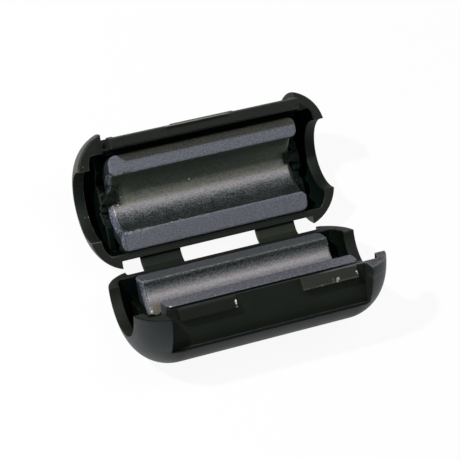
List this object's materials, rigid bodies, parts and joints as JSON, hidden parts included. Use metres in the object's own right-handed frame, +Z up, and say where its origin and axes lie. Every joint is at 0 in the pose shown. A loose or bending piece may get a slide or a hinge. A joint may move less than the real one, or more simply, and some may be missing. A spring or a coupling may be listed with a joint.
{
  "type": "clip-on ferrite bead",
  "caption": "Hinged round plastic case holding a split ferrite tube, lying open; it snaps shut round a cable to damp high-frequency noise.",
  "frame": {"origin": "on the surface that the open bead lies on, straight below the hinge line, at mid length", "axes": "+X along the cable, towards the right-hand end seen from the base half's latch side; +Y from the base half to the lid half; +Z up"},
  "size_m": [0.0374, 0.0354, 0.0183],
  "materials": {
    "case": "black moulded nylon with a low sheen, slightly olive where light falls on it",
    "ferrite": "fine-grained sintered ferrite, grey with a violet cast, satin in the channel"
  },
  "bodies": {
    "base": {"base_shell": "case", "base_core": "ferrite", "strap_left": "case", "strap_right": "case"},
    "lid": {"lid_shell": "case", "lid_core": "ferrite"}
  },
  "joints": [
    {"name": "hinge", "type": "hinge", "parent": "base", "child": "lid", "pos_m": [0, 0, 0.00358], "axis": [1, 0, 0], "range_deg": [-80, 99.6], "deforming": ["strap_left", "strap_right"]}
  ]
}
